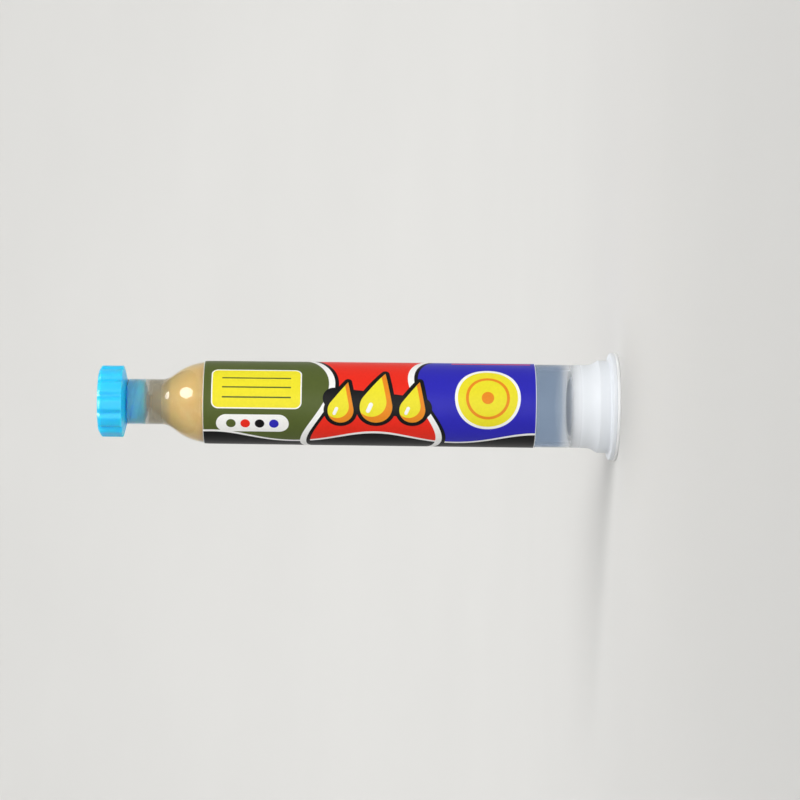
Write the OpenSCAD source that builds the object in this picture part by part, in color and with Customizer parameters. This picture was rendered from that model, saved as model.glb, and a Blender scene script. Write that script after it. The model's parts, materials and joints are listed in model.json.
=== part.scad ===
// Flux syringe: a 10 ml dispensing barrel full of paste, with its tip cap and end cap on.
// It stands on the end cap. The axis is +Z, the nozzle is up, and the origin is the
// centre of the end cap's rear face.

/* [Overall] */
// Length over both caps
overall_len = 109.5; // [95:0.5:150]
// Bevel on the edges that lead one piece into another
lead_in = 0.2; // [0.05:0.05:0.25]

/* [Barrel body] */
// Diameter of the straight bore
bore_d = 15.4; // [13.6:0.1:20]
// Wall of the body behind the shoulder
wall_front = 0.95; // [0.7:0.05:1.6]
// Wall of the body at the mouth, thicker by the draft of the mould
wall_rear = 1.1; // [0.7:0.05:1.6]

/* [Barrel mouth] */
// How far the mouth is wider than the bore, on the radius
mouth_step = 0.75; // [0.3:0.05:1.2]
// Depth of the straight part of the mouth
mouth_depth = 3.05; // [1.5:0.05:4.5]
// Slope of the mouth's cone, from the axis
mouth_angle = 20; // [12:1:35]
// Wall of the collar round the mouth
collar_wall = 1.35; // [1:0.05:2.5]
// Length of the straight part of the collar
collar_len = 2.45; // [1:0.05:4]
// Length of the collar's cone down to the body
collar_cone_len = 1.45; // [0.8:0.05:4]
// Radius that eases the cone into the body
collar_ease_r = 4; // [1:0.5:10]
// How far the flange stands out from the collar
flange_lip = 1.55; // [0.8:0.05:4]
// Thickness of the barrel's flange
flange_t = 0.95; // [0.7:0.05:2]
// Radius on the flange's front edge
flange_edge_r = 0.3; // [0.1:0.05:0.35]
// Radius on the flange's rear edge
flange_rear_r = 0.2; // [0.05:0.05:0.3]
// Radius of the fillet between the flange and the collar
flange_root_r = 0.45; // [0.1:0.05:1.1]

/* [Shoulder and neck] */
// Radius of the domed shoulder
shoulder_r = 12.2; // [6:0.1:14]
// Steepest slope of the shoulder, from the axis
shoulder_angle = 35.6; // [25:0.1:50]
// Radius of the fillet between shoulder and neck
neck_fillet_r = 3.7; // [1:0.1:4.5]
// Wall of the neck round the thread room
neck_wall = 0.8; // [0.6:0.05:1.5]
// Length of the neck in front of its fillet
neck_len = 7.25; // [5:0.05:10]
// Radius on the neck's front edge
neck_edge_r = 0.25; // [0.1:0.05:0.3]

/* [Nozzle] */
// Diameter of the thread room inside the neck
pocket_d = 8; // [7.6:0.1:8.2]
// Diameter of the nozzle at its tip
nozzle_tip_d = 3.94; // [3.8:0.01:4.1]
// How much the nozzle's diameter grows for each millimetre away from the tip
nozzle_taper = 0.06; // [0.04:0.01:0.08]
// How far the nozzle stands out of the neck
nozzle_out = 2; // [0.5:0.1:2.5]
// Diameter of the hole through the nozzle
nozzle_bore_d = 2.2; // [1.2:0.1:2.6]

/* [Tip cap] */
// Diameter over the cap's lobes
head_d = 15.1; // [12.5:0.1:20]
// Length of the head from the neck to its end face
head_t = 5.8; // [5:0.1:9]
// How far the back of the head is coned
head_cone = 0.7; // [0:0.1:1.2]
// Width of the bevel on the end face's rim
rim_bevel_w = 1; // [0.4:0.1:1.4]
// Height of the bevel on the end face's rim
rim_bevel_h = 0.6; // [0.2:0.1:1]
// Number of lobes
lobes = 12; // [8:1:18]
// Radius of the groove between two lobes
groove_r = 0.6; // [0.3:0.05:0.8]
// Depth of the groove between two lobes
groove_depth = 0.4; // [0.2:0.05:0.6]
// Angle of the first groove
groove_turn = 9; // [0:1:30]
// Diameter of the hollow in the end face
dish_d = 9; // [6:0.1:10]
// Depth of the hollow in the end face
dish_depth = 1.8; // [0.5:0.1:2]
// Diameter of the boss in the middle of that hollow
boss_d = 4; // [2:0.1:5]
// Gap between the head and the neck
head_gap = 0.1; // [0.05:0.05:0.3]
// Room left for the thread between the cap's hub and the neck
thread_room = 0.55; // [0.4:0.05:0.8]
// Gap between the hub and the floor of the thread room
hub_gap = 0.7; // [0.3:0.1:1.5]
// Gap round the nozzle inside the hub
hub_clear = 0.04; // [0.02:0.01:0.09]
// Gap between the nozzle's tip and the bottom of the hub
tip_gap = 0.35; // [0.2:0.05:0.5]

/* [End cap] */
// Thickness of the end cap's flange
end_flange_t = 0.65; // [0.5:0.05:1.5]
// How far the end cap's flange stands out past the barrel's
end_flange_lip = 0.1; // [0:0.05:1]
// Radius on the edge of the end cap's flange
end_edge_r = 0.25; // [0.1:0.05:0.25]
// Length of the plug's nose in front of its cone
plug_nose_len = 1.75; // [1.55:0.05:6]
// Gap between the plug and the mouth
plug_clear = 0.05; // [0.02:0.01:0.09]
// How much the plug's nose is smaller than the bore, on the radius
plug_nose_gap = 1; // [0.4:0.1:1.2]
// Radius round the edge of the plug's nose
plug_edge_r = 1.3; // [0.5:0.1:1.5]
// Wall of the hollow plug
plug_wall = 1.1; // [0.8:0.1:2]
// Thickness of the plug's closed front
plug_floor = 1.2; // [0.8:0.1:2]

/* [Piston] */
// Length of the piston over its nose
piston_len = 13; // [11:0.5:18]
// Length of the piston's conical nose
nose_len = 4; // [2:0.5:6]
// Diameter of the flat on the nose
nose_flat_d = 4.4; // [2:0.1:6]
// Length of each sealing lip
lip_len = 1.6; // [1:0.1:2.5]
// Depth of the waist between the lips
waist_depth = 0.6; // [0.3:0.1:1]
// Wall of the hollow piston
piston_wall = 1.5; // [1.1:0.1:2]
// Gap between the lips and the bore
piston_clear = 0.05; // [0.02:0.01:0.09]

/* [Flux paste] */
// Length of the straight column of paste, from the piston's rim to the shoulder
column_len = 49.5; // [20:0.5:55]
// Gap between the paste and the barrel
paste_film = 0.05; // [0.03:0.01:0.1]
// Gap between the paste and the piston
paste_gap = 0.1; // [0.05:0.05:0.3]
// How far the paste ends short of the nozzle's tip
paste_short = 0.3; // [0.1:0.1:1]

/* [Label] */
// Length of the label along the barrel
label_len = 69.8; // [30:0.1:75]
// How far the label runs past the start of the shoulder
label_over = 1.4; // [0:0.1:3]
// Thickness of the label
label_t = 0.1; // [0.05:0.01:0.3]
// Thickness of its glue
glue_t = 0.03; // [0.02:0.01:0.08]
// Width of the seam where the label's ends face each other
seam_w = 1; // [0.5:0.1:4]
// Where the seam lies, as an angle round the barrel
seam_angle = 90; // [0:5:355]

/* [Hidden] */
$fn = 96;

// Cuts run this far past the faces they open
past = 1;
// Arcs are this much too large, so that they cross the straights they run into
bite = 0.002;

// Radii of the barrel
bore_r = bore_d / 2;
body_front_r = bore_r + wall_front;
body_rear_r = bore_r + wall_rear;
mouth_r = bore_r + mouth_step;
collar_r = mouth_r + collar_wall;
flange_r = collar_r + flange_lip;
pocket_r = pocket_d / 2;
neck_r = pocket_r + neck_wall;
nozzle_tip_r = nozzle_tip_d / 2;
nozzle_bore_r = nozzle_bore_d / 2;

// The two arcs of the shoulder meet each other where the step is too low for a straight
shoulder_drop = body_front_r - neck_r;
shoulder_a = min(shoulder_angle, acos(1 - shoulder_drop / (shoulder_r + neck_fillet_r)));
slope_drop = shoulder_drop - (shoulder_r + neck_fillet_r) * (1 - cos(shoulder_a));
shoulder_len = (shoulder_r + neck_fillet_r) * sin(shoulder_a) + slope_drop / tan(shoulder_a);

// Fillet between the collar's cone and the body, limited by the cone's length
cone_a = atan((collar_r - body_rear_r) / collar_cone_len);
ease_r = min(collar_ease_r, collar_cone_len / cos(cone_a) / tan(cone_a / 2));
ease_len = ease_r * tan(cone_a / 2);

// Heights, from the rear face up
barrel_z = end_flange_t;
flange_z = barrel_z + flange_t;
collar_z = flange_z + collar_len;
cone_z = collar_z + collar_cone_len;
ease_z = cone_z + ease_len;
mouth_z = barrel_z + mouth_depth;
bore_z = mouth_z + mouth_step / tan(mouth_angle);
head_z = overall_len - head_t;
neck_end_z = head_z - head_gap;
neck_z = neck_end_z - neck_len;
shoulder_z = neck_z - shoulder_len;
nozzle_z = neck_end_z + nozzle_out;

// The shoulder's arc has one centre for its outside and its inside
shoulder_c = body_front_r - shoulder_r;
inner_r = shoulder_r - wall_front;

// Tip cap
hub_r = pocket_r - thread_room;
hub_z = funnel_end(0) + hub_gap;
hub_top_z = nozzle_z + tip_gap;
head_r = head_d / 2;

// End cap
end_flange_r = flange_r + end_flange_lip;
plug_r = mouth_r - plug_clear;
plug_nose_r = bore_r - plug_nose_gap;
plug_nose_z = mouth_z + (plug_r - plug_nose_r) / tan(mouth_angle);
plug_z = plug_nose_z + plug_nose_len;

// Piston and paste
lip_r = bore_r - piston_clear;
waist_r = lip_r - waist_depth;
nose_flat_r = nose_flat_d / 2;
nose_z = shoulder_z - column_len;
piston_front_z = nose_z + nose_len;
piston_rear_z = piston_front_z - piston_len;
nose_slope = (lip_r - nose_flat_r) / nose_len;

// Label
label_front_z = shoulder_z + label_over;
label_rear_z = label_front_z - label_len;

// Radius and height where the shoulder's arc gives way to its straight slope
function arc_end(r) = [shoulder_c + r * cos(shoulder_a), shoulder_z + r * sin(shoulder_a)];

// Height where the funnel, drawn smaller by shrink, reaches the hole through the nozzle
function funnel_end(shrink) =
    let (p = arc_end(inner_r - shrink))
    p[1] + (p[0] - nozzle_bore_r + shrink) / tan(shoulder_a);

// Radius of the nozzle's outside at a height
function nozzle_r(z) = nozzle_tip_r + (nozzle_z - z) * nozzle_taper / 2;

// What is left of a square outside a quarter circle: cuts a round on an outside corner.
// side says which way the corner points.
module corner(at, r, side) {
    translate([at[0] - side[0] * r, at[1] - side[1] * r]) {
        difference() {
            polygon([[0, 0], [side[0] * 2 * r, 0], [side[0] * 2 * r, side[1] * 2 * r],
                     [0, side[1] * 2 * r]]);
            circle(r + bite);
        }
    }
}

// Disc that gives the shoulder its convex stretch
module shoulder_arc(r) {
    low = shoulder_z - past;
    high = arc_end(r)[1] + past;
    intersection() {
        translate([shoulder_c, shoulder_z]) circle(r + bite);
        translate([0, low]) square([shoulder_c + r + past, high - low]);
    }
}

// Outside of the barrel, with the body, shoulder and neck grown by an even amount
module outside_section(grow) {
    fillet_r = neck_fillet_r - grow;
    fillet_c = [neck_r + neck_fillet_r, neck_z];
    difference() {
        union() {
            polygon([[0, barrel_z], [flange_r, barrel_z], [flange_r, flange_z],
                     [collar_r + flange_root_r, flange_z], [collar_r, flange_z + flange_root_r],
                     [collar_r, collar_z],
                     [body_rear_r + ease_len * sin(cone_a), cone_z - ease_len * cos(cone_a)],
                     [body_rear_r + grow, ease_z], [body_front_r + grow, shoulder_z],
                     arc_end(shoulder_r + grow),
                     fillet_c - fillet_r * [cos(shoulder_a), sin(shoulder_a)],
                     [neck_r + grow, neck_z], [neck_r + grow, neck_end_z], [0, neck_end_z]]);
            shoulder_arc(shoulder_r + grow);
        }
        translate([body_rear_r + ease_r, ease_z]) circle(ease_r + bite - grow);
        translate(fillet_c) circle(fillet_r + bite);
        translate([collar_r + flange_root_r, flange_z + flange_root_r])
            circle(flange_root_r + bite);
        corner([flange_r, flange_z], flange_edge_r, [1, 1]);
        corner([flange_r, barrel_z], flange_rear_r, [1, -1]);
        corner([neck_r + grow, neck_end_z], neck_edge_r, [1, 1]);
    }
}

// Inside of the barrel from a height up to the nozzle's tip, drawn smaller by an even amount
module inside_section(from_z, shrink) {
    p = arc_end(inner_r - shrink);
    polygon([[0, from_z], [bore_r - shrink, from_z], [bore_r - shrink, shoulder_z], p,
             [nozzle_bore_r - shrink, funnel_end(shrink)], [0, funnel_end(shrink)]]);
    shoulder_arc(inner_r - shrink);
    translate([0, p[1]]) square([nozzle_bore_r - shrink, nozzle_z + past - p[1]]);
}

module barrel() {
    pocket_z = funnel_end(0);
    color([0.72, 0.77, 0.83, 0.5])
    rotate_extrude() {
        difference() {
            union() {
                difference() {
                    outside_section(0);
                    polygon([[0, pocket_z], [pocket_r, pocket_z],
                             [pocket_r, neck_end_z - lead_in],
                             [pocket_r + lead_in + past, neck_end_z + past],
                             [0, neck_end_z + past]]);
                }
                polygon([[0, neck_z], [nozzle_bore_r, neck_z], [nozzle_r(pocket_z), pocket_z],
                         [nozzle_r(nozzle_z - lead_in), nozzle_z - lead_in],
                         [nozzle_tip_r - lead_in, nozzle_z], [0, nozzle_z]]);
            }
            polygon([[0, barrel_z - past], [mouth_r + lead_in + past, barrel_z - past],
                     [mouth_r, barrel_z + lead_in], [mouth_r, mouth_z],
                     [bore_r, bore_z], [0, bore_z]]);
            inside_section(barrel_z, 0);
        }
    }
}

// Head and hub of the tip cap, before the grooves
module head_section() {
    difference() {
        polygon([[0, hub_z], [hub_r - lead_in, hub_z], [hub_r, hub_z + lead_in],
                 [hub_r, head_z], [neck_r, head_z],
                 [head_r, head_z + head_cone], [head_r, overall_len - rim_bevel_h],
                 [head_r - rim_bevel_w, overall_len], [0, overall_len]]);
        polygon([[0, hub_z - past], [nozzle_r(hub_z - past) + hub_clear, hub_z - past],
                 [nozzle_r(hub_top_z) + hub_clear, hub_top_z], [0, hub_top_z]]);
        translate([nozzle_r(hub_z) + hub_clear, hub_z])
            polygon([[-lead_in, -past], [lead_in + past, -past], [-lead_in, 2 * lead_in]]);
        translate([boss_d / 2, overall_len - dish_depth])
            square([(dish_d - boss_d) / 2, dish_depth + past]);
    }
}

module tip_cap() {
    color([0.25, 0.80, 0.97])
    difference() {
        rotate_extrude() head_section();
        for (i = [0:lobes - 1]) {
            rotate(groove_turn + i * 360 / lobes)
                translate([head_r + groove_r - groove_depth, 0, head_z - past])
                cylinder(r = groove_r, h = head_t + 2 * past);
        }
    }
}

module end_cap() {
    color([0.93, 0.94, 0.95])
    rotate_extrude() {
        difference() {
            union() {
                square([end_flange_r, end_flange_t]);
                polygon([[0, 0], [plug_r, 0], [plug_r, mouth_z], [plug_nose_r, plug_nose_z],
                         [plug_nose_r, plug_z], [0, plug_z]]);
            }
            corner([end_flange_r, 0], end_edge_r, [1, -1]);
            corner([end_flange_r, end_flange_t], end_edge_r, [1, 1]);
            corner([plug_nose_r, plug_z], plug_edge_r, [1, 1]);
            polygon([[0, -past], [plug_r - plug_wall + lead_in + past, -past],
                     [plug_r - plug_wall, lead_in], [plug_r - plug_wall, mouth_z],
                     [plug_nose_r - plug_wall, plug_nose_z],
                     [plug_nose_r - plug_wall, plug_z - plug_floor], [0, plug_z - plug_floor]]);
        }
    }
}

module piston() {
    socket_z = nose_z - lip_len;
    color([0.95, 0.95, 0.92])
    rotate_extrude() {
        difference() {
            polygon([[0, piston_rear_z], [lip_r - lead_in, piston_rear_z],
                     [lip_r, piston_rear_z + lead_in], [lip_r, piston_rear_z + lip_len],
                     [waist_r, piston_rear_z + lip_len + waist_depth],
                     [waist_r, nose_z - lip_len - waist_depth], [lip_r, nose_z - lip_len],
                     [lip_r, nose_z], [nose_flat_r, piston_front_z], [0, piston_front_z]]);
            polygon([[0, piston_rear_z - past],
                     [waist_r - piston_wall + lead_in + past, piston_rear_z - past],
                     [waist_r - piston_wall, piston_rear_z + lead_in],
                     [waist_r - piston_wall, socket_z],
                     [0, socket_z + (waist_r - piston_wall) / nose_slope]]);
        }
    }
}

module flux_paste() {
    color([0.87, 0.72, 0.45])
    rotate_extrude() {
        difference() {
            inside_section(nose_z + paste_gap, paste_film);
            polygon([[0, nose_z], [lip_r, nose_z + paste_gap],
                     [nose_flat_r, piston_front_z + paste_gap], [0, piston_front_z + paste_gap]]);
            translate([0, nozzle_z - paste_short]) square([bore_r, paste_short + 2 * past]);
        }
    }
}

module label() {
    color([0.82, 0.16, 0.12])
    difference() {
        rotate_extrude() {
            intersection() {
                difference() {
                    outside_section(glue_t + label_t);
                    outside_section(glue_t);
                }
                translate([0, label_rear_z]) square([flange_r, label_len]);
            }
        }
        rotate(seam_angle)
            translate([0, -seam_w / 2, label_rear_z - past])
            cube([flange_r, seam_w, label_len + 2 * past]);
    }
}

barrel();
tip_cap();
end_cap();
piston();
flux_paste();
label();
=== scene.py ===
"""Looks of the flux syringe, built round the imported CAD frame.

Every turned piece is spun again from the half section of its CAD node, with the small edge
rounds, thread and soft lobes that the moulded originals have. The paste, the printed film,
the camera and the studio are made here too. Lengths are metres, +Z runs along the barrel
to the nozzle, and the side that the camera sees is -Y.
"""
import json
import math

import bmesh
import bpy
from bpy.props import FloatProperty, FloatVectorProperty, IntProperty, PointerProperty
from mathutils import Matrix, Quaternion, Vector


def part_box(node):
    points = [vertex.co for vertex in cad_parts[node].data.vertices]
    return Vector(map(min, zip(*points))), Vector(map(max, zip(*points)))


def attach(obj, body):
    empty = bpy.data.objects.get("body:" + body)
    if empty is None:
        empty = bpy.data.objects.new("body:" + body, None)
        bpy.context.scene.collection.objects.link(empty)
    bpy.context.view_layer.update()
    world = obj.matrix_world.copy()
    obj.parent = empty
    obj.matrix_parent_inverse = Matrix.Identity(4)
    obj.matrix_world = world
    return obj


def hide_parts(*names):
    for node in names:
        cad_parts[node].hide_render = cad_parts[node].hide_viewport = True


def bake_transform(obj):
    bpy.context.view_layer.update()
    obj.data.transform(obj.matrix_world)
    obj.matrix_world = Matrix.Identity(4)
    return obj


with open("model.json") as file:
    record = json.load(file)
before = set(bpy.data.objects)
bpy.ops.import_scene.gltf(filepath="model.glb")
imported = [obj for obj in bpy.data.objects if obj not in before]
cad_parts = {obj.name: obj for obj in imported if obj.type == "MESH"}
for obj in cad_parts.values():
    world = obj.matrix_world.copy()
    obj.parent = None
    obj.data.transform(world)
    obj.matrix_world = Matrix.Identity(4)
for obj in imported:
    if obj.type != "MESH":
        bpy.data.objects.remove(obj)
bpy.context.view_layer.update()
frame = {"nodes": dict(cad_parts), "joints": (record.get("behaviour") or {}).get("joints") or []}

bl_info = {
    "name": "Flux Syringe",
    "version": (1, 0, 0),
    "blender": (4, 5, 0),
    "location": "View3D > Sidebar > Flux Syringe",
    "description": "Makes the pieces, finishes and studio of a flux syringe round its CAD frame",
    "category": "Object",
}

MM = 0.001
# Points nearer than this are one point
SAME_POINT = 1e-6
FULL_TURN = 2 * math.pi

# Heights and radii that the pieces share, all read from the frame
BARREL_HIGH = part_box("barrel")[1]
LABEL_LOW, LABEL_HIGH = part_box("label")
PISTON_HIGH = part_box("piston")[1]
CAP_LOW, CAP_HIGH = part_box("tip_cap")
LABEL_R = LABEL_HIGH.x
# Room that the CAD paste leaves to the barrel's inner skin
BORE_GAP = 0.05 * MM
PISTON_TRAVEL = next(j for j in frame["joints"] if j["name"] == "piston_push")["range_m"][1]


def linear(code):
    """Linear RGBA of an sRGB hex colour."""
    parts = [int(code[i:i + 2], 16) / 255 for i in (1, 3, 5)]
    return tuple(c / 12.92 if c <= 0.04045 else ((c + 0.055) / 1.055) ** 2.4 for c in parts) + (1,)


def smooth(t):
    """Smooth step from 0 to 1."""
    t = min(max(t, 0), 1)
    return t * t * (3 - 2 * t)


# Sections


def section(node):
    """Half section of a turned CAD node: its (r, z) outline in order, and if it is a closed ring."""
    mesh = bmesh.new()
    mesh.from_mesh(frame["nodes"][node].data)
    bmesh.ops.remove_doubles(mesh, verts=mesh.verts, dist=SAME_POINT)
    bmesh.ops.bisect_plane(
        mesh, geom=mesh.verts[:] + mesh.edges[:] + mesh.faces[:], dist=SAME_POINT,
        plane_co=(0, 0, 0), plane_no=(0, 1, 0), clear_inner=True, clear_outer=True)
    bmesh.ops.bisect_plane(
        mesh, geom=mesh.verts[:] + mesh.edges[:] + mesh.faces[:], dist=SAME_POINT,
        plane_co=(0, 0, 0), plane_no=(1, 0, 0), clear_inner=True)
    bmesh.ops.remove_doubles(mesh, verts=mesh.verts, dist=SAME_POINT)
    ends = sorted((v for v in mesh.verts if len(v.link_edges) == 1), key=lambda v: v.co.z)
    here, came = ends[0] if ends else next(iter(mesh.verts)), None
    outline, seen = [], set()
    while here is not None and here not in seen:
        seen.add(here)
        outline.append((max(here.co.x, 0), here.co.z))
        onward = [e for e in here.link_edges if e != came and e.other_vert(here) not in seen]
        came = onward[0] if onward else None
        here = came.other_vert(here) if came else None
    if len(seen) != len(mesh.verts):
        raise RuntimeError(f"the section of {node} isn't one outline")
    mesh.free()
    return straightened(outline, not ends), not ends


def straightened(outline, ring):
    """The outline without the points that lie on a straight line between their neighbours."""
    kept = []
    count = len(outline)
    for i, here in enumerate(outline):
        before, after = Vector(outline[i - 1]), Vector(outline[(i + 1) % count])
        chord = after - before
        off = abs(chord.cross(Vector(here) - before)) / max(chord.length, SAME_POINT)
        if off > SAME_POINT / 2 or (not ring and i in (0, count - 1)):
            kept.append(here)
    return kept


def softened(outline, ring, radius, sharp=math.radians(18), steps=3):
    """The outline with every sharp corner rounded, as far as the sides of the corner allow."""
    # The most of a side that one of its two corners may take
    most = 0.4
    made = []
    count = len(outline)
    for i, here in enumerate(outline):
        if not ring and i in (0, count - 1):
            made.append(here)
            continue
        at = Vector(here)
        back, on = Vector(outline[i - 1]) - at, Vector(outline[(i + 1) % count]) - at
        turn = math.pi - back.angle(on)
        if turn < sharp:
            made.append(here)
            continue
        side = min(radius * math.tan(turn / 2), most * back.length, most * on.length)
        start, end = at + back.normalized() * side, at + on.normalized() * side
        for k in range(steps + 1):
            t = k / steps
            made.append(tuple(start * (1 - t) ** 2 + at * 2 * t * (1 - t) + end * t * t))
    return made


def grown(outline, distance):
    """The open outline, which runs towards +Z, moved outwards square to itself."""
    # Keeps a sharp corner from running far out
    least = 0.3
    made = []
    for i, here in enumerate(outline):
        at = Vector(here)
        near = [Vector(p) for p in outline[max(i - 1, 0):i + 2]]
        ways = [(b - a).normalized() for a, b in zip(near, near[1:])]
        outward = sum((Vector((w.y, -w.x)) for w in ways), Vector((0, 0))).normalized()
        first = Vector((ways[0].y, -ways[0].x))
        made.append(tuple(at + outward * distance / max(outward.dot(first), least)))
    return made


def divided(outline, ring, step, where):
    """The outline with its long straights cut into steps wherever where(r, z) is true."""
    made = []
    count = len(outline)
    for i, here in enumerate(outline):
        made.append(here)
        if not ring and i == count - 1:
            continue
        a, b = Vector(here), Vector(outline[(i + 1) % count])
        middle = (a + b) / 2
        if where(middle.x, middle.y):
            cuts = int((b - a).length / step)
            made += [tuple(a.lerp(b, k / (cuts + 1))) for k in range(1, cuts + 1)]
    return made


def ridge(z, angle, lead, low, high):
    """How far a two-start thread stands out at a point, from 0 to 1, faded at its ends."""
    half_width, flank, fade = 0.6 * MM, 0.3 * MM, 0.6 * MM
    turn = 2 * (z / lead + angle / FULL_TURN)
    off = abs(turn - math.floor(turn) - 0.5) * lead / 2
    ends = smooth((z - low) / fade) * smooth((high - z) / fade)
    return smooth((half_width - off) / flank) * ends


def thread_room(size):
    """Where the neck's thread room lies, and the radius of its threaded wall at a point."""
    outline, _ = section("barrel")
    # Only the nozzle's tip and the neck's end lie within this length of the top. The
    # threaded wall lies at 0.8 to 0.9 of the neck's radius
    end_len = 2.6 * MM
    neck_r = max(r for r, z in outline if z > BARREL_HIGH.z - end_len)
    room = [(r, z) for r, z in outline
            if 0.8 * neck_r < r < 0.9 * neck_r and z > CAP_LOW.z - 1 * MM]
    room_r = max(r for r, z in room)
    low, high = min(z for r, z in room), max(z for r, z in room)

    def wall(z, angle):
        """Radius of the threaded wall."""
        out = ridge(z, angle, size.thread_lead, low + 0.2 * MM, high - 0.1 * MM)
        return room_r - size.thread_height * out

    return room_r, low, high, wall


# Meshes


def turned(name, outline, ring, segments, relief=None, start=0.0, sweep=FULL_TURN):
    """Spins an outline about the axis. relief(r, z, angle) gives the radius of a point."""
    mesh = bmesh.new()
    full = sweep >= FULL_TURN
    angles = [start + sweep * k / segments for k in range(segments + (0 if full else 1))]
    rows = []
    for r, z in outline:
        if r < SAME_POINT:
            rows.append([mesh.verts.new((0, 0, z))])
            continue
        radii = [relief(r, z, a) if relief else r for a in angles]
        rows.append([mesh.verts.new((q * math.cos(a), q * math.sin(a), z))
                     for q, a in zip(radii, angles)])
    pairs = list(zip(rows, rows[1:] + rows[:1])) if ring else list(zip(rows, rows[1:]))
    for low, high in pairs:
        for k in range(segments):
            n = (k + 1) % len(angles)
            if len(low) == 1:
                mesh.faces.new((low[0], high[n], high[k]))
            elif len(high) == 1:
                mesh.faces.new((low[k], low[n], high[0]))
            else:
                mesh.faces.new((low[k], low[n], high[n], high[k]))
    if not full:
        mesh.faces.new([row[0] for row in rows])
        mesh.faces.new([row[-1] for row in reversed(rows)])
    return finished(name, mesh)


def finished(name, mesh, crease=math.radians(40)):
    """An object made of the mesh, shaded smooth up to a crease."""
    bmesh.ops.recalc_face_normals(mesh, faces=mesh.faces)
    data = bpy.data.meshes.new(name)
    mesh.to_mesh(data)
    mesh.free()
    data.shade_smooth()
    data.set_sharp_from_angle(angle=crease)
    piece = bpy.data.objects.new(name, data)
    bpy.context.scene.collection.objects.link(piece)
    evened = piece.modifiers.new("Even normals", "WEIGHTED_NORMAL")
    evened.keep_sharp = True
    return piece


def seated(piece, material, body, node):
    """Gives a piece its finish, its body, if one, and the CAD node it stands for."""
    piece.data.materials.append(material)
    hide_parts(node)
    if body:
        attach(piece, body)
    return piece


# Materials


def add(tree, kind, settings=None, **inputs):
    """Adds one shader node. Inputs are values or sockets, with _ for a space or s2 for socket 2."""
    node = tree.nodes.new("ShaderNode" + kind)
    for key, value in (settings or {}).items():
        setattr(node, key, value)
    for key, value in inputs.items():
        numbered = key[0] == "s" and key[1:].isdigit()
        socket = node.inputs[int(key[1:])] if numbered else node.inputs[key.replace("_", " ")]
        if isinstance(value, bpy.types.NodeSocket):
            tree.links.new(value, socket)
        else:
            socket.default_value = value
    return node


def graded(tree, value, high, stops):
    """Colour that runs between stops, each a value up to high and its colour."""
    share = add(tree, "MapRange", Value=value, From_Max=high).outputs[0]
    ramp = add(tree, "ValToRGB", Fac=share)
    marks = ramp.color_ramp.elements
    while len(marks) < len(stops):
        marks.new(1.0)
    for mark, (at, colour) in zip(marks, stops):
        mark.position = at / high
        mark.color = colour
    return ramp.outputs[0]


def blank(name):
    """A new material with an empty node tree and its output."""
    material = bpy.data.materials.new(name)
    material.use_nodes = True
    tree = material.node_tree
    tree.nodes.clear()
    return material, tree, tree.nodes.new("ShaderNodeOutputMaterial")


def moulded_natural_polypropylene(look):
    """Injection-moulded natural polypropylene. It is milky: it bends what lies behind it and
    adds a haze. The haze is white and dense where the wall is thick and over the plug, where the
    white is painted light that stands in for the lit plug behind the wall; it is blue-grey over
    the empty bore, a painted shade that darkens what shows through there; and it is warm where
    the paste wets the wall."""
    material, tree, out = blank("moulded_natural_polypropylene")
    place = add(tree, "TexCoord").outputs["Object"]
    height = add(tree, "SeparateXYZ", Vector=place).outputs["Z"]
    top = BARREL_HIGH.z
    # Heights in mm. The plug's front is at 10.1, the neck begins at 96.4 and the thread room
    # inside it at 98.7, with the thick root between the two
    # Painted light and shade: the white over the plug stands in for the lit plug behind the wall, and
    # the blue-grey over the empty bore darkens it as painted shade
    haze = graded(tree, height, top, [(at * MM, colour) for at, colour in (
        (10.0, look.haze_with_painted_plug_light), (12.4, look.haze_with_painted_bore_shade), (60, look.haze_with_painted_bore_shade),
        (80, look.haze_paste), (94.2, look.haze_paste), (96.4, look.haze_root),
        (98.4, look.haze_root), (100.4, look.haze_neck))])
    # Share of the light that passes, least where the wall is thick. It is also low over the plug's
    # nose, so that the white haze there paints the plug's light
    clear = graded(tree, height, top, [(at * MM, (share, share, share, 1)) for at, share in (
        (8.2, 0.1), (9.4, 0.4), (10.2, 0.92), (94.0, 0.93), (96.6, 0.55), (98.4, 0.6),
        (100.4, 0.98))])
    # Satin where the mould was blasted for the collar, polished along the body and dome
    shine = add(tree, "MapRange", Value=height, From_Min=6.5 * MM, From_Max=9.5 * MM,
                To_Min=0.4, To_Max=0.12).outputs[0]
    gloss = add(tree, "MapRange", Value=height, From_Min=20 * MM, From_Max=80 * MM,
                To_Min=0.05, To_Max=0.9).outputs[0]
    # Flow lines of the melt, about 3 mm apart round the wall and drawn out along it
    stretched = add(tree, "Mapping", s0=place, Scale=(330, 330, 40)).outputs[0]
    flow = add(tree, "TexNoise", Vector=stretched, Scale=1.0, Detail=3.0).outputs[0]
    bump = add(tree, "Bump", Strength=0.12, Distance=0.04 * MM, Height=flow)
    # Not the plastic's own IOR, 1.49: a lower one lets more light in to what lies inside, and
    # a higher one in the coat brightens the highlights
    body = add(tree, "BsdfPrincipled", Base_Color=haze, Roughness=shine, IOR=1.22,
               Transmission_Weight=clear, Coat_Weight=gloss, Coat_Roughness=0.06, Coat_IOR=1.65,
               Normal=bump.outputs[0])
    tree.links.new(body.outputs[0], out.inputs[0])
    return material


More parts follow.
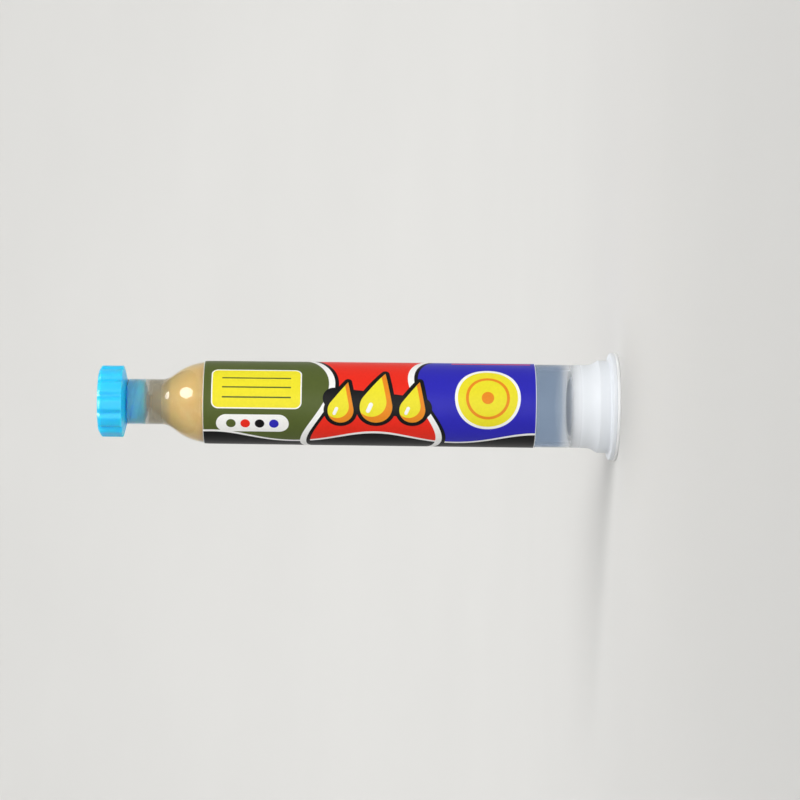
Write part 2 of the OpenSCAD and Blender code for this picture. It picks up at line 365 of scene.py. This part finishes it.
def core_polished_polypropylene():
    """The same polypropylene where the mould's polished core pin left it: clear and glossy."""
    material, tree, out = blank("core_polished_polypropylene")
    place = add(tree, "TexCoord").outputs["Object"]
    # Faint drag marks of the core, drawn out along the bore
    stretched = add(tree, "Mapping", s0=place, Scale=(2500, 2500, 60)).outputs[0]
    drag = add(tree, "TexNoise", Vector=stretched, Scale=1.0, Detail=2.0).outputs[0]
    bump = add(tree, "Bump", Strength=0.05, Distance=0.01 * MM, Height=drag)
    # The IOR is that of the outside, so that the wall bends light evenly
    body = add(tree, "BsdfPrincipled", Base_Color=linear("#ffffff"), Roughness=0.08, IOR=1.22,
               Transmission_Weight=1.0, Normal=bump.outputs[0])
    tree.links.new(body.outputs[0], out.inputs[0])
    return material


def moulded_blue_polypropylene(look):
    """Injection-moulded blue polypropylene: satin, with the crests of the lobes looking paler in the
    light. The hub's blue is painted: both of its blues are brightened as painted light, it is paler
    towards its thin end in the neck, and it is deeper under the head as painted shade."""
    material, tree, out = blank("moulded_blue_polypropylene")
    place = add(tree, "TexCoord").outputs["Object"]
    height = add(tree, "SeparateXYZ", Vector=place).outputs["Z"]
    # Painted light and shade on the hub: both blues are brightened to stand in for the light that the
    # head and the neck's wall take from it, and the blue deepens under the head as painted shade
    hub = add(tree, "MapRange", Value=height, From_Min=BARREL_HIGH.z - 4.4 * MM,
              From_Max=BARREL_HIGH.z - 2.2 * MM).outputs[0]
    hub_light_and_shade = add(tree, "Mix", {"data_type": "RGBA"}, Factor=hub, s6=look.hub_lit_blue,
                     s7=look.hub_shaded_blue).outputs[2]
    head = add(tree, "MapRange", Value=height, From_Min=CAP_HIGH.z - 6.3 * MM,
               From_Max=CAP_HIGH.z - 5.9 * MM).outputs[0]
    colour = add(tree, "Mix", {"data_type": "RGBA"}, Factor=head, s6=hub_light_and_shade,
                 s7=look.cap_blue).outputs[2]
    # Cloudy pigment, in patches about 4 mm wide
    cloud = add(tree, "TexNoise", Vector=place, Scale=250.0, Detail=2.0).outputs[0]
    shade = add(tree, "MapRange", Value=cloud, To_Min=0.93, To_Max=1.06).outputs[0]
    colour = add(tree, "VectorMath", {"operation": "SCALE"}, s0=colour, Scale=shade).outputs[0]
    # Fine spark-eroded grain of the mould, 0.15 mm
    grain = add(tree, "TexNoise", Vector=place, Scale=6500.0, Detail=2.0).outputs[0]
    bump = add(tree, "Bump", Strength=0.25, Distance=0.01 * MM, Height=grain)
    body = add(tree, "BsdfPrincipled", Base_Color=colour, Roughness=0.32, IOR=1.49,
               Specular_IOR_Level=0.75, Subsurface_Weight=0.8,
               Subsurface_Radius=(0.06, 0.45, 1.0), Subsurface_Scale=3 * MM, Normal=bump.outputs[0])
    tree.links.new(body.outputs[0], out.inputs[0])
    return material


def moulded_polyethylene(name, colour_value, roughness):
    """Injection-moulded polyethylene: soft, waxy and a little translucent, with a faint grain."""
    material, tree, out = blank(name)
    place = add(tree, "TexCoord").outputs["Object"]
    cloud = add(tree, "TexNoise", Vector=place, Scale=180.0, Detail=2.0).outputs[0]
    shade = add(tree, "MapRange", Value=cloud, To_Min=0.96, To_Max=1.03).outputs[0]
    colour = add(tree, "VectorMath", {"operation": "SCALE"}, s0=tuple(colour_value)[:3],
                 Scale=shade).outputs[0]
    grain = add(tree, "TexNoise", Vector=place, Scale=5000.0, Detail=2.0).outputs[0]
    bump = add(tree, "Bump", Strength=0.2, Distance=0.01 * MM, Height=grain)
    body = add(tree, "BsdfPrincipled", Base_Color=colour, Roughness=roughness, IOR=1.51,
               Subsurface_Weight=0.35, Subsurface_Radius=(1.0, 1.0, 1.0),
               Subsurface_Scale=1.5 * MM, Normal=bump.outputs[0])
    tree.links.new(body.outputs[0], out.inputs[0])
    return material


def stirred_rosin_paste(look):
    """Stirred rosin flux paste: an amber grease, wet and even, with faint swirls in it."""
    material, tree, out = blank("stirred_rosin_paste")
    place = add(tree, "TexCoord").outputs["Object"]
    # Swirls about 5 mm wide, wound round the axis
    swirl = add(tree, "TexNoise", Vector=place, Scale=190.0, Detail=3.0, Distortion=1.2).outputs[0]
    share = add(tree, "MapRange", Value=swirl, From_Min=0.3, From_Max=0.7).outputs[0]
    colour = add(tree, "Mix", {"data_type": "RGBA"}, Factor=share, s6=look.paste_dark,
                 s7=look.paste_light).outputs[2]
    body = add(tree, "BsdfPrincipled", Base_Color=colour, Roughness=0.3, IOR=1.5,
               Subsurface_Weight=0.4, Subsurface_Radius=(1.0, 0.6, 0.3), Subsurface_Scale=1.5 * MM)
    tree.links.new(body.outputs[0], out.inputs[0])
    return material


class Print:
    """The label's artwork, painted field by field on the unrolled film.

    s runs from the nozzle end of the film to its rear, in mm, and u round it, in mm, from the
    middle of the side that the camera sees towards +X. A shape is a signed distance in mm.
    """

    edge = 0.06

    def __init__(self, tree, colour):
        self.tree, self.colour = tree, colour
        place = add(tree, "TexCoord").outputs["Object"]
        x, y, z = add(tree, "SeparateXYZ", Vector=place).outputs
        self.angle = self.maths("ARCTAN2", x, self.maths("MULTIPLY", y, -1.0))
        self.u = self.maths("MULTIPLY", self.angle, LABEL_R / MM)
        self.s = self.maths("MULTIPLY_ADD", z, -1 / MM, LABEL_HIGH.z / MM)

    def maths(self, operation, *values, clamp=False):
        """One Math node on the values."""
        inputs = {f"s{i}": v for i, v in enumerate(values)}
        return add(self.tree, "Math", {"operation": operation, "use_clamp": clamp}, **inputs).outputs[0]

    def shifted(self, s, u, tilt=0.0):
        """Coordinates from a centre, turned by tilt degrees."""
        ds, du = self.maths("SUBTRACT", self.s, s), self.maths("SUBTRACT", self.u, u)
        if not tilt:
            return ds, du
        c, w = math.cos(math.radians(tilt)), math.sin(math.radians(tilt))
        along = self.maths("MULTIPLY_ADD", ds, c, self.maths("MULTIPLY", du, w))
        across = self.maths("MULTIPLY_ADD", du, c, self.maths("MULTIPLY", ds, -w))
        return along, across

    def panel(self, s, u, half_s, half_u, corner, tilt=0.0):
        """Rounded panel."""
        ds, du = self.shifted(s, u, tilt)
        a = self.maths("SUBTRACT", self.maths("ABSOLUTE", ds), half_s - corner)
        a = self.maths("MAXIMUM", a, 0.0)
        b = self.maths("SUBTRACT", self.maths("ABSOLUTE", du), half_u - corner)
        b = self.maths("MAXIMUM", b, 0.0)
        far = self.maths("SQRT", self.maths("MULTIPLY_ADD", a, a, self.maths("MULTIPLY", b, b)))
        return self.maths("SUBTRACT", far, corner)

    def disc(self, s, u, radius):
        """Disc."""
        return self.panel(s, u, radius, radius, radius)

    def drop(self, s, u, radius, reach, tilt):
        """Drop: a disc that runs out to a point."""
        along, across = self.shifted(s, u, tilt)
        b = radius / reach
        a = math.sqrt(1 - b * b)
        side = self.maths("ABSOLUTE", along)
        far = self.maths("MULTIPLY", side, side)
        disc = self.maths("SQRT", self.maths("MULTIPLY_ADD", across, across, far))
        disc = self.maths("SUBTRACT", disc, radius)
        over = self.maths("SUBTRACT", across, reach)
        tip = self.maths("SQRT", self.maths("MULTIPLY_ADD", over, over, far))
        flank = self.maths("MULTIPLY_ADD", side, a, self.maths("MULTIPLY_ADD", across, b, -radius))
        k = self.maths("MULTIPLY_ADD", side, -b, self.maths("MULTIPLY", across, a))
        found = self.chosen(flank, disc, self.maths("LESS_THAN", k, 0.0))
        return self.chosen(found, tip, self.maths("GREATER_THAN", k, a * reach))

    def chosen(self, first, second, share):
        """The first value, or the second where share is 1."""
        return self.maths("MULTIPLY_ADD", self.maths("SUBTRACT", second, first), share, first)

    def without(self, distance, hole):
        """A shape with another cut out of it."""
        return self.maths("MAXIMUM", distance, self.maths("MULTIPLY", hole, -1.0))

    def wave(self, s, height, waves, phase):
        """How far a point lies behind a wavy line round the film."""
        bent = self.maths("SINE", self.maths("MULTIPLY_ADD", self.angle, float(waves), phase))
        return self.maths("SUBTRACT", self.maths("MULTIPLY_ADD", bent, -height, self.s), s)

    def band(self, distance, half):
        """Band of an even width along a line."""
        return self.maths("SUBTRACT", self.maths("ABSOLUTE", distance), half)

    def paint(self, distance, ink, grow=0.0):
        """Prints ink wherever the distance is under grow."""
        mask = self.maths("MULTIPLY_ADD", distance, -1 / self.edge, 0.5 + grow / self.edge, clamp=True)
        self.colour = add(self.tree, "Mix", {"data_type": "RGBA"}, Factor=mask, s6=self.colour,
                          s7=ink).outputs[2]


def printed_film(look):
    """Printed and varnished polypropylene film: even solid inks under a soft satin gloss, a
    white cut edge, and an artwork of plain fields, drops, discs and write-on panels."""
    material, tree, out = blank("printed_varnished_film")
    art = Print(tree, look.ink_olive)
    film_len = (LABEL_HIGH.z - LABEL_LOW.z) / MM
    first = art.wave(24.0, 3.0, 2, 0.6)
    second = art.wave(46.5, 3.0, 2, 3.4)
    art.paint(art.maths("MULTIPLY", first, -1.0), look.ink_red)
    art.paint(art.maths("MULTIPLY", second, -1.0), look.ink_blue)
    # Dark wavy band along the lower side
    ripple = art.maths("SINE", art.maths("MULTIPLY_ADD", art.s, 0.185, 1.2))
    below = art.maths("ADD", art.maths("MULTIPLY_ADD", ripple, -1.6, art.u), 16.0)
    band = art.band(below, 7.6)
    art.paint(band, look.ink_white, grow=0.55)
    art.paint(band, look.ink_black)
    for line in (first, second):
        art.paint(art.band(art.maths("SUBTRACT", line, 0.45), 1.0), look.ink_black)
        art.paint(art.band(line, 0.65), look.ink_white)
    # Write-on panel and a pill of dots on the olive field
    panel = art.panel(11.2, 3.4, 9.2, 4.4, 1.2)
    art.paint(panel, look.ink_white, grow=0.25)
    art.paint(panel, look.ink_yellow)
    for i in range(3):
        art.paint(art.panel(11.2, 5.6 - 2.2 * i, 7.2, 0.16, 0.05), look.ink_olive)
    art.paint(art.panel(10.4, -4.6, 7.6, 2.1, 2.1), look.ink_white)
    for i, dot in enumerate((look.ink_olive, look.ink_red, look.ink_black, look.ink_blue)):
        art.paint(art.disc(5.9 + 3.0 * i, -4.6, 1.0), dot)
    # Three drops over a dark ribbon on the red field
    art.paint(art.panel(36.5, 0.2, 11.5, 2.3, 2.3, -6.0), look.ink_black)
    for s, u, radius in ((28.8, -1.4, 2.7), (36.2, -0.6, 3.4), (43.8, -1.2, 2.7)):
        shape = art.drop(s, u, radius, radius * 2.35, -14.0)
        art.paint(shape, look.ink_black, grow=0.85)
        art.paint(shape, look.ink_yellow)
        shade = art.without(shape, art.drop(s - 0.28 * radius, u + 0.3 * radius, radius * 0.92,
                                            radius * 2.2, -14.0))
        art.paint(shade, look.ink_orange)
        art.paint(art.panel(s - 0.4 * radius, u - 0.05 * radius, 0.13 * radius, 0.34 * radius,
                            0.13 * radius, -24.0), look.ink_white)
    # Ringed disc on the blue field, and a fine line over it
    art.paint(art.disc(59.6, 1.6, 6.9), look.ink_white)
    art.paint(art.disc(59.6, 1.6, 6.3), look.ink_yellow)
    ring = art.disc(59.6, 1.6, 4.3)
    art.paint(art.band(ring, 0.3), look.ink_orange)
    art.paint(art.disc(59.6, 1.6, 1.3), look.ink_orange)
    art.paint(art.panel(60.5, 12.0, 8.4, 0.35, 0.3), look.ink_red)
    # Write-on panel on the far side
    art.paint(art.panel(35.0, 21.0, 15.0, 4.2, 1.2), look.ink_white)
    for i in range(3):
        art.paint(art.panel(35.0, 23.2 - 2.2 * i, 12.8, 0.16, 0.05), look.ink_blue)
    # Bare film shows pale along both cut edges
    art.paint(art.maths("SUBTRACT", art.s, 0.1), look.ink_white)
    art.paint(art.maths("SUBTRACT", film_len - 0.1, art.s), look.ink_white)
    place = add(tree, "TexCoord").outputs["Object"]
    # Mottle of the ink, drawn at 0.5 mm so that it can show
    mottle = add(tree, "TexNoise", Vector=place, Scale=2000.0, Detail=2.0).outputs[0]
    shade = add(tree, "MapRange", Value=mottle, To_Min=0.93, To_Max=1.05).outputs[0]
    colour = add(tree, "VectorMath", {"operation": "SCALE"}, s0=art.colour, Scale=shade).outputs[0]
    # The film lies in slow waves about 6 mm long over its glue
    slow = add(tree, "TexNoise", Vector=place, Scale=160.0, Detail=1.0).outputs[0]
    bump = add(tree, "Bump", Strength=0.25, Distance=0.03 * MM, Height=slow)
    body = add(tree, "BsdfPrincipled", Base_Color=colour, Roughness=0.42, IOR=1.46,
               Specular_IOR_Level=0.2, Normal=bump.outputs[0])
    tree.links.new(body.outputs[0], out.inputs[0])
    return material


def rolled_emulsion(look):
    """Pale emulsion paint, rolled on board: matt, with a barely uneven tone."""
    material, tree, out = blank("rolled_pale_emulsion")
    place = add(tree, "TexCoord").outputs["Object"]
    tone = add(tree, "TexNoise", Vector=place, Scale=9.0, Detail=2.0).outputs[0]
    shade = add(tree, "MapRange", Value=tone, To_Min=0.97, To_Max=1.02).outputs[0]
    colour = add(tree, "VectorMath", {"operation": "SCALE"}, s0=tuple(look.floor)[:3],
                 Scale=shade).outputs[0]
    body = add(tree, "BsdfPrincipled", Base_Color=colour, Roughness=0.75)
    tree.links.new(body.outputs[0], out.inputs[0])
    return material


# Settings


def ink(label, text, code):
    """A colour that a user can change."""
    return FloatVectorProperty(name=label, description=text, subtype="COLOR", size=4, min=0, max=1,
                               default=linear(code))


class SyringeSizes(bpy.types.PropertyGroup):
    """Sizes of the details that the CAD frame leaves to the looks."""

    edge_round: FloatProperty(
        name="Edge round", description="Radius on the moulded edges", default=0.12 * MM,
        min=0.02 * MM, max=0.3 * MM, precision=5, subtype="DISTANCE", unit="LENGTH")
    thread_lead: FloatProperty(
        name="Thread lead", description="Rise of the neck's two-start thread in one turn",
        default=5 * MM, min=3 * MM, max=8 * MM, precision=4, subtype="DISTANCE", unit="LENGTH")
    thread_height: FloatProperty(
        name="Thread height", description="How far the thread stands in from the neck's wall",
        default=0.2 * MM, min=0.1 * MM, max=0.45 * MM, precision=5, subtype="DISTANCE",
        unit="LENGTH")
    lobe_groove: FloatProperty(
        name="Lobe groove", description="Depth of the groove between two lobes of the tip cap",
        default=0.5 * MM, min=0.1 * MM, max=0.7 * MM, precision=5, subtype="DISTANCE",
        unit="LENGTH")
    lobes: IntProperty(name="Lobes", description="Number of lobes round the tip cap", default=12,
                       min=6, max=24)
    wetting: FloatProperty(
        name="Wetting", description="How far paste and hub press into the barrel's inner skin",
        default=0.01 * MM, min=0, max=0.05 * MM, precision=6, subtype="DISTANCE", unit="LENGTH")
    segments: IntProperty(name="Segments", description="Flat sides round each turned piece",
                          default=144, min=48, max=256)


class SyringeColours(bpy.types.PropertyGroup):
    """Colours of the syringe's finishes."""

    # The haze over the plug is painted light of the plug behind the wall, and the haze over the empty
    # bore is painted shade
    haze_with_painted_plug_light: ink("Haze, plug", "Haze of the barrel over the end cap's plug", "#f2f6fb")
    haze_with_painted_bore_shade: ink("Haze, empty", "Haze of the barrel over the empty bore", "#92a6c1")
    haze_paste: ink("Haze, paste", "Haze of the barrel where the paste wets it", "#fff0ce")
    haze_root: ink("Haze, root", "Haze of the thick root of the neck", "#a8a18c")
    haze_neck: ink("Haze, neck", "Haze of the barrel's neck", "#f0f3f4")
    cap_blue: ink("Tip cap", "Blue of the tip cap's head", "#18ccff")
    # Both hub blues are brightened as painted light; the one under the head is deeper as painted shade
    hub_shaded_blue: ink("Hub, deep", "Blue of the hub under the head", "#2cb8ff")
    hub_lit_blue: ink("Hub, pale", "Blue of the hub's thin end", "#52d2ff")
    end_white: ink("End cap", "White of the end cap", "#fafbfc")
    piston_white: ink("Piston", "Natural white of the piston", "#e9e8e2")
    paste_light: ink("Paste, light", "Light amber of the paste", "#ffe8ae")
    paste_dark: ink("Paste, dark", "Dark amber of the paste", "#fcdc9c")
    ink_olive: ink("Olive ink", "Field at the nozzle end of the label", "#535f2c")
    ink_red: ink("Red ink", "Field in the middle of the label", "#ea2a18")
    ink_blue: ink("Blue ink", "Field at the rear of the label", "#2a26b4")
    ink_yellow: ink("Yellow ink", "Panels and drops of the label", "#ece02c")
    ink_orange: ink("Orange ink", "Rings on the label's disc", "#e98a1e")
    ink_white: ink("White ink", "Edges and pale panels of the label", "#f4f4f2")
    ink_black: ink("Black ink", "Outlines and dark band of the label", "#0a0a0c")
    floor: ink("Floor", "Pale paint of the studio floor", "#d8d7d4")


class SyringeStudio(bpy.types.PropertyGroup):
    """Camera and lights."""

    distance: FloatProperty(
        name="Camera distance", description="From the lens to the syringe's axis", default=0.56,
        min=0.2, max=3, subtype="DISTANCE", unit="LENGTH")
    scale: FloatProperty(
        name="Picture scale", description="Pixels for each metre at the axis, in an 800 pixel frame",
        default=4710, min=500, max=9000)
    rear_pixel: FloatProperty(
        name="Rear end", description="Where the rear end lies across the 800 pixel frame",
        default=616.1, min=0, max=800)
    axis_pixel: FloatProperty(
        name="Optical axis", description="Where the line straight out of the lens meets the frame",
        default=347, min=0, max=800)
    axis_drop: FloatProperty(
        name="Drop", description="How far the syringe lies below the middle of the frame, in pixels",
        default=4.4, min=-50, max=50)
    tilt: FloatProperty(name="Tilt", description="Turn of the syringe in the picture",
                        default=math.radians(0.66), min=-0.2, max=0.2, subtype="ANGLE")
    key_power: FloatProperty(name="Key light", description="Power of the large soft light",
                             default=27.5, min=0, subtype="POWER", unit="POWER")
    low_power: FloatProperty(
        name="Low light", description="Power of the light at -X, below in the picture", default=2,
        min=0, subtype="POWER", unit="POWER")
    wall_power: FloatProperty(name="Wall light", description="Power of the light on the far wall",
                              default=10, min=0, subtype="POWER", unit="POWER")
    card_power: FloatProperty(name="Card", description="Power of the lit card on the floor in front",
                              default=4.8, min=0, subtype="POWER", unit="POWER")
    sky: FloatProperty(name="Sky", description="Brightness of the even light from all round",
                       default=0.18, min=0, max=2)


# Operators


class SYRINGE_OT_stage(bpy.types.Operator):
    """Make the pale floor, the soft lights and the camera"""

    bl_idname = "syringe.stage"
    bl_label = "Stage"

    def execute(self, context):
        look, studio = context.scene.syringe_colours, context.scene.syringe_studio
        frame_px, sensor = 800, 36.0
        # The lens stands over one pixel of the frame and looks at its middle
        eye_z = (studio.rear_pixel - studio.axis_pixel) / studio.scale
        aim_z = (studio.rear_pixel - frame_px / 2) / studio.scale
        aim_x = studio.axis_drop / studio.scale
        eye, aim = Vector((aim_x, -studio.distance, eye_z)), Vector((aim_x, 0, aim_z))
        ahead = (aim - eye).normalized()
        up = Vector((math.cos(studio.tilt), 0, math.sin(studio.tilt)))
        right = ahead.cross(up).normalized()
        up = right.cross(ahead)
        data = bpy.data.cameras.new("camera")
        data.sensor_width = sensor
        data.lens = sensor * studio.scale * (aim - eye).length / frame_px
        data.clip_start, data.clip_end = 0.01, 20
        camera = bpy.data.objects.new("camera", data)
        context.scene.collection.objects.link(camera)
        turn = Matrix((right, up, -ahead)).transposed().to_4x4()
        camera.matrix_world = Matrix.Translation(eye) @ turn
        context.scene.camera = camera
        context.scene.view_settings.view_transform = "Standard"

        # Floor that sweeps up all round into a wide dish, so that no corner shows: the radius
        # of its flat, the radius of its bend, and how many degrees it climbs
        flat, bend, climb = 0.3, 1.6, 60
        steps, sides = 24, 96
        angles = [math.radians(climb * k / steps) for k in range(steps + 1)]
        curve = [(flat + bend * math.sin(angle), bend - bend * math.cos(angle)) for angle in angles]
        floor = turned("floor_sweep", [(0.0, 0.0)] + curve, False, sides)
        floor.data.materials.append(rolled_emulsion(look))

        # Lamp, where it stands, where it points, its size, its roll in degrees and its power
        middle = Vector((0, 0, aim_z))
        far_wall, over_card = Vector((0, 1.2, 0.2)), Vector((0, -0.3, 0.4))
        for name, spot, target, span, roll, power in (
                ("key", (0.96, -1.22, 1.87), middle, (1.05, 1.4), 25, studio.key_power),
                ("low", (-1.1, -1.3, 1.65), middle, (1.7, 1.7), 0, studio.low_power),
                ("wall", (0.0, 0.35, 1.15), far_wall, (1.4, 0.3), 0, studio.wall_power),
                ("card", (0.0, -0.42, 0.004), over_card, (0.25, 0.6), 0, studio.card_power)):
            lamp = bpy.data.lights.new(name, "AREA")
            lamp.shape = "ELLIPSE"
            lamp.size, lamp.size_y = span
            lamp.energy = power
            light = bpy.data.objects.new(name, lamp)
            context.scene.collection.objects.link(light)
            light.location = spot
            light.visible_camera = False
            light.rotation_mode = "QUATERNION"
            facing = (Vector(spot) - target).to_track_quat("Z", "X")
            light.rotation_quaternion = facing @ Quaternion((0, 0, 1), math.radians(roll))

        world = bpy.data.worlds.new("studio")
        context.scene.world = world
        world.use_nodes = True
        tree = world.node_tree
        tree.nodes.clear()
        sky = add(tree, "Background", Color=linear("#f2f4f6"), Strength=studio.sky)
        out = add(tree, "OutputWorld", Surface=sky.outputs[0])
        out.is_active_output = True
        return {"FINISHED"}


class SYRINGE_OT_barrel(bpy.types.Operator):
    """Turn the barrel, with the two-start thread inside its neck"""

    bl_idname = "syringe.barrel"
    bl_label = "Barrel"

    def execute(self, context):
        size, look = context.scene.syringe_sizes, context.scene.syringe_colours
        outline, ring = section("barrel")
        room_r, low, high, wall = thread_room(size)

        def in_room(r, z):
            """True on the thread room's wall."""
            return abs(r - room_r) < 0.02 * MM and low < z < high

        def threaded(r, z, angle):
            """Radius with the thread in it."""
            return wall(z, angle) if in_room(r, z) else r

        outline = softened(outline, ring, size.edge_round)
        outline = divided(outline, ring, 0.12 * MM, in_room)
        piece = turned("barrel_moulding", outline, ring, size.segments, threaded)
        seated(piece, moulded_natural_polypropylene(look), "barrel", "barrel")
        piece.data.materials.append(core_polished_polypropylene())
        for face in piece.data.polygons:
            radial = face.center.x * face.normal.x + face.center.y * face.normal.y
            face.material_index = int(radial < 0)
        return {"FINISHED"}


class SYRINGE_OT_tip_cap(bpy.types.Operator):
    """Turn the tip cap with its soft lobes"""

    bl_idname = "syringe.tip_cap"
    bl_label = "Tip cap"

    def execute(self, context):
        size, look = context.scene.syringe_sizes, context.scene.syringe_colours
        outline, ring = section("tip_cap")
        head_r = max(r for r, z in outline)
        hub_r = max(r for r, z in outline if z < BARREL_HIGH.z - 2.5 * MM)
        _, _, high, wall = thread_room(size)

        def on_hub(r, z):
            """True on the part of the hub that lies in the thread room."""
            return abs(r - hub_r) < 0.02 * MM and z < high

        outline = softened(outline, ring, 2 * size.edge_round, steps=4)
        outline = divided(outline, ring, 0.12 * MM, on_hub)
        # The first groove stands where the CAD cap has it, 9 degrees from +X, and runs out
        # 9 degrees to each side
        first, half = math.radians(9), math.radians(9)
        pitch = FULL_TURN / size.lobes

        def lobed(r, z, angle):
            """Radius with the hub's thread and the head's grooves in it."""
            if on_hub(r, z):
                grip = smooth((z - CAP_LOW.z) / (0.5 * MM)) * smooth((high - z) / (0.3 * MM))
                return r + (wall(z, angle) + size.wetting - r) * grip
            reach = smooth((r - head_r + 1.5 * MM) / (1.2 * MM))
            off = abs((angle - first + pitch / 2) % pitch - pitch / 2)
            groove = 0.5 + 0.5 * math.cos(math.pi * min(off / half, 1))
            return r - size.lobe_groove * groove * reach

        piece = turned("tip_cap_moulding", outline, ring, 24 * size.lobes, lobed)
        seated(piece, moulded_blue_polypropylene(look), "tip_cap", "tip_cap")
        return {"FINISHED"}


class SYRINGE_OT_end_cap(bpy.types.Operator):
    """Turn the white plug end cap"""

    bl_idname = "syringe.end_cap"
    bl_label = "End cap"

    def execute(self, context):
        size, look = context.scene.syringe_sizes, context.scene.syringe_colours
        outline, ring = section("end_cap")
        outline = softened(outline, ring, size.edge_round)
        piece = turned("end_cap_moulding", outline, ring, size.segments)
        white = moulded_polyethylene("moulded_white_polyethylene", look.end_white, 0.36)
        seated(piece, white, "end_cap", "end_cap")
        return {"FINISHED"}


class SYRINGE_OT_piston(bpy.types.Operator):
    """Turn the piston"""

    bl_idname = "syringe.piston"
    bl_label = "Piston"

    def execute(self, context):
        size, look = context.scene.syringe_sizes, context.scene.syringe_colours
        outline, ring = section("piston")
        outline = softened(outline, ring, size.edge_round)
        piece = turned("piston_moulding", outline, ring, size.segments)
        natural = moulded_polyethylene("moulded_natural_polyethylene", look.piston_white, 0.45)
        seated(piece, natural, "piston", "piston")
        return {"FINISHED"}


class SYRINGE_OT_paste(bpy.types.Operator):
    """Fill the barrel with paste: a nose that stays with the barrel, and a column next to the piston"""

    bl_idname = "syringe.paste"
    bl_label = "Flux paste"

    def execute(self, context):
        size, look = context.scene.syringe_sizes, context.scene.syringe_colours
        paste = stirred_rosin_paste(look)
        outline, ring = section("flux_paste")
        column_r = max(r for r, z in outline)
        rim_z = min(z for r, z in outline)
        # The column's end is dented by the piston's nose, whose flat tip is tip_r in radius
        tip_r = max(r for r, z in outline if abs(z - PISTON_HIGH.z) < 0.2 * MM)
        dent = max(z for r, z in outline if abs(r - tip_r) < 0.01 * MM and z < rim_z + 10 * MM) - rim_z
        # At the end of its travel the piston leaves a film of the column
        film = 0.1 * MM
        front_z = rim_z + PISTON_TRAVEL + film
        gap = BORE_GAP + size.wetting

        nose = [(0.0, front_z + film / 2 + dent), (tip_r, front_z + film / 2 + dent),
                (column_r, front_z + film / 2)]
        beyond = [(r, z) for r, z in outline if z > front_z + film and r > SAME_POINT]
        beyond.sort(key=lambda p: (p[1], -p[0]))
        nose += grown(beyond, gap) + [(0.0, beyond[-1][1])]
        piece = turned("paste_nose", nose, False, size.segments)
        seated(piece, paste, "barrel", "flux_paste")

        column = [(0.0, rim_z + dent), (tip_r, rim_z + dent), (column_r, rim_z),
                  (column_r, front_z), (tip_r, front_z + dent), (0.0, front_z + dent)]
        piece = turned("paste_column", column, False, size.segments)
        seated(piece, paste, None, "flux_paste")
        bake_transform(piece)
        return {"FINISHED"}


class SYRINGE_OT_label(bpy.types.Operator):
    """Wrap the printed film round the body, with its seam on the far side"""

    bl_idname = "syringe.label"
    bl_label = "Label"

    def execute(self, context):
        size, look = context.scene.syringe_sizes, context.scene.syringe_colours
        outline, ring = section("label")
        outline = divided(outline, ring, 4 * MM, lambda r, z: True)
        half_gap = 0.5 * MM
        seam = math.asin(half_gap / LABEL_R)
        piece = turned("label_film", outline, ring, size.segments, None, math.pi / 2 + seam,
                       FULL_TURN - 2 * seam)
        seated(piece, printed_film(look), "barrel", "label")
        return {"FINISHED"}


STEPS = (SYRINGE_OT_stage, SYRINGE_OT_barrel, SYRINGE_OT_tip_cap, SYRINGE_OT_end_cap,
         SYRINGE_OT_piston, SYRINGE_OT_paste, SYRINGE_OT_label)


class SYRINGE_PT_panel(bpy.types.Panel):
    """Lists the syringe's settings and steps"""

    bl_idname = "SYRINGE_PT_panel"
    bl_label = "Flux Syringe"
    bl_space_type = "VIEW_3D"
    bl_region_type = "UI"
    bl_category = "Flux Syringe"

    def draw(self, context):
        for group in (context.scene.syringe_sizes, context.scene.syringe_colours,
                      context.scene.syringe_studio):
            box = self.layout.box()
            for name in group.__annotations__:
                box.prop(group, name)
        for step in STEPS:
            self.layout.operator(step.bl_idname)


CLASSES = (SyringeSizes, SyringeColours, SyringeStudio) + STEPS + (SYRINGE_PT_panel,)


def register():
    """Registers the classes and hangs the settings on the scene."""
    for made in CLASSES:
        bpy.utils.register_class(made)
    bpy.types.Scene.syringe_sizes = PointerProperty(type=SyringeSizes)
    bpy.types.Scene.syringe_colours = PointerProperty(type=SyringeColours)
    bpy.types.Scene.syringe_studio = PointerProperty(type=SyringeStudio)


def unregister():
    """Takes away what register made."""
    del bpy.types.Scene.syringe_sizes
    del bpy.types.Scene.syringe_colours
    del bpy.types.Scene.syringe_studio
    for made in reversed(CLASSES):
        bpy.utils.unregister_class(made)


def main():
    """Makes the whole scene."""
    register()
    bpy.ops.syringe.stage()
    bpy.ops.syringe.barrel()
    bpy.ops.syringe.tip_cap()
    bpy.ops.syringe.end_cap()
    bpy.ops.syringe.piston()
    bpy.ops.syringe.paste()
    bpy.ops.syringe.label()


if __name__ == "__main__":
    main()
